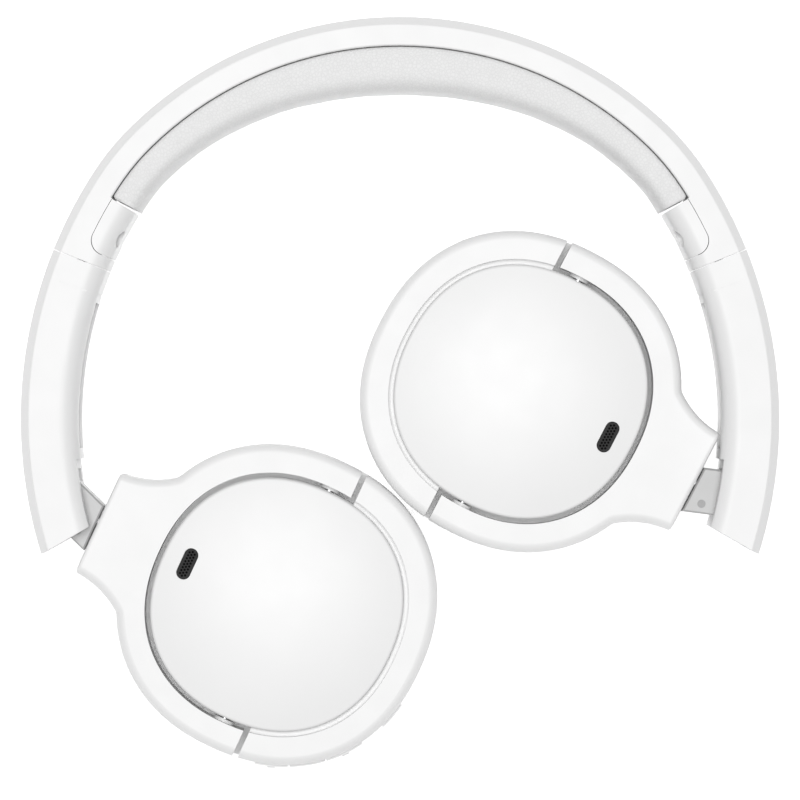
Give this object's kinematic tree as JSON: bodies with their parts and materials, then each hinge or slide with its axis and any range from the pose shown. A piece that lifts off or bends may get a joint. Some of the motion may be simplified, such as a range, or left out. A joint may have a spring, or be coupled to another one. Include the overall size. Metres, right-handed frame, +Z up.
{
  "type": "over-ear headphones",
  "caption": "Foldable wireless over-ear headphones, folded flat: curved band with head pad, sliding arms, folding hinges, forked yokes and round cups with soft ear cushions.",
  "frame": {"origin": "centre of the bounding box of the folded headphones, on the surface that the ear cushions lie on", "axes": "+Z up from the table towards the outer faces of the cups, +Y from the cups towards the crown of the band, +X to the right seen from above"},
  "size_m": [0.1724, 0.1713, 0.0325],
  "materials": {
    "white_shell": "fine matt white",
    "cap_white": "fine matt white",
    "key_white": "matt white",
    "hinge_grey": "light grey, slightly glossy",
    "pad_leather": "fine-grained soft imitation leather",
    "cushion_leather": "smooth soft imitation leather",
    "steel": "bare steel",
    "pin_grey": "satin grey",
    "mesh_black": "fine black mesh",
    "inner_grey": "dark grey inner plastic",
    "magnet": "plated",
    "diaphragm": "thin clear-grey film",
    "scrim_fabric": "fine black cloth",
    "board_green": "solder mask",
    "battery_wrap": "foil wrap",
    "light_lens": "small clear lens"
  },
  "bodies": {
    "headband": {"headband_shell": "white_shell", "band_liner": "white_shell", "spring_band": "steel", "head_pad": "pad_leather", "cover_screws": "pin_grey", "end_cover_left": "white_shell", "end_cover_right": "white_shell"},
    "arm_left": {"arm_shell_left": "white_shell", "arm_cover_left": "white_shell", "slider_strip_left": "steel", "fold_pin_left": "steel"},
    "knuckle_left": {"hinge_knuckle_left": "hinge_grey", "marker_pin_left": "pin_grey", "swivel_shaft_left": "steel", "swivel_clip_left": "steel"},
    "yoke_left": {"yoke_left": "white_shell", "tilt_pins_left": "steel"},
    "cup_left": {"cup_housing_left": "white_shell", "cup_cap_left": "cap_white", "mic_mesh_left": "mesh_black", "baffle_left": "inner_grey", "baffle_screws_left": "steel", "driver_frame_left": "inner_grey", "driver_magnet_left": "magnet", "driver_diaphragm_left": "diaphragm", "scrim_left": "scrim_fabric", "ear_cushion_left": "cushion_leather", "charge_port": "steel", "status_light": "light_lens", "circuit_board": "board_green"},
    "arm_right": {"arm_shell_right": "white_shell", "arm_cover_right": "white_shell", "slider_strip_right": "steel", "fold_pin_right": "steel"},
    "knuckle_right": {"hinge_knuckle_right": "hinge_grey", "marker_pin_right": "pin_grey", "swivel_shaft_right": "steel", "swivel_clip_right": "steel"},
    "yoke_right": {"yoke_right": "white_shell", "tilt_pins_right": "steel"},
    "cup_right": {"cup_housing_right": "white_shell", "cup_cap_right": "cap_white", "mic_mesh_right": "mesh_black", "baffle_right": "inner_grey", "baffle_screws_right": "steel", "driver_frame_right": "inner_grey", "driver_magnet_right": "magnet", "driver_diaphragm_right": "diaphragm", "scrim_right": "scrim_fabric", "ear_cushion_right": "cushion_leather", "battery": "battery_wrap"},
    "key_volume_up": {"key_volume_up": "key_white"},
    "key_play": {"key_play": "key_white"},
    "key_volume_down": {"key_volume_down": "key_white"},
    "key_power": {"key_power": "key_white"}
  },
  "joints": [
    {"name": "extend_left", "type": "slide", "parent": "headband", "child": "arm_left", "axis": [-0.3746, -0.9272, 0], "range_m": [0, 0.02]},
    {"name": "fold_left", "type": "hinge", "parent": "arm_left", "child": "knuckle_left", "pos_m": [-0.07739, -0.02329, 0.0195], "axis": [0, 0, 1], "range_deg": [-35.3, 0]},
    {"name": "swivel_left", "type": "hinge", "parent": "knuckle_left", "child": "yoke_left", "pos_m": [-0.06887, -0.02942, 0.0195], "axis": [-0.9085, 0.4179, 0], "range_deg": [-90, 0]},
    {"name": "tilt_left", "type": "hinge", "parent": "yoke_left", "child": "cup_left", "pos_m": [-0.02808, -0.04818, 0.0217], "axis": [-0.4179, -0.9085, 0], "range_deg": [-5, 5]},
    {"name": "extend_right", "type": "slide", "parent": "headband", "child": "arm_right", "axis": [0.3746, -0.9272, 0], "range_m": [0, 0.02]},
    {"name": "fold_right", "type": "hinge", "parent": "arm_right", "child": "knuckle_right", "pos_m": [0.07739, -0.02329, 0.0195], "axis": [0, 0, -1], "range_deg": [-87.5, 0]},
    {"name": "swivel_right", "type": "hinge", "parent": "knuckle_right", "child": "yoke_right", "pos_m": [0.06733, -0.02031, 0.0195], "axis": [-0.887, 0.4617, 0], "range_deg": [-90, 0]},
    {"name": "tilt_right", "type": "hinge", "parent": "yoke_right", "child": "cup_right", "pos_m": [0.02751, 0.00042, 0.0217], "axis": [-0.4617, -0.887, 0], "range_deg": [-5, 5]},
    {"name": "press_volume_up", "type": "slide", "parent": "cup_left", "child": "key_volume_up", "axis": [0.0393, 0.9992, 0], "range_m": [0, 0.00035], "stiffness_N_per_m": 300, "springref_m": -0.001},
    {"name": "press_play", "type": "slide", "parent": "cup_left", "child": "key_play", "axis": [-0.1848, 0.9828, 0], "range_m": [0, 0.00035], "stiffness_N_per_m": 300, "springref_m": -0.001},
    {"name": "press_volume_down", "type": "slide", "parent": "cup_left", "child": "key_volume_down", "axis": [-0.4139, 0.9103, 0], "range_m": [0, 0.00035], "stiffness_N_per_m": 300, "springref_m": -0.001},
    {"name": "press_power", "type": "slide", "parent": "cup_left", "child": "key_power", "axis": [-0.7163, 0.6978, 0], "range_m": [0, 0.00035], "stiffness_N_per_m": 300, "springref_m": -0.001}
  ],
  "couplings": [
    {"joint": "extend_right", "follows": "extend_left", "ratio": 1},
    {"joint": "fold_right", "follows": "fold_left", "ratio": 1}
  ]
}
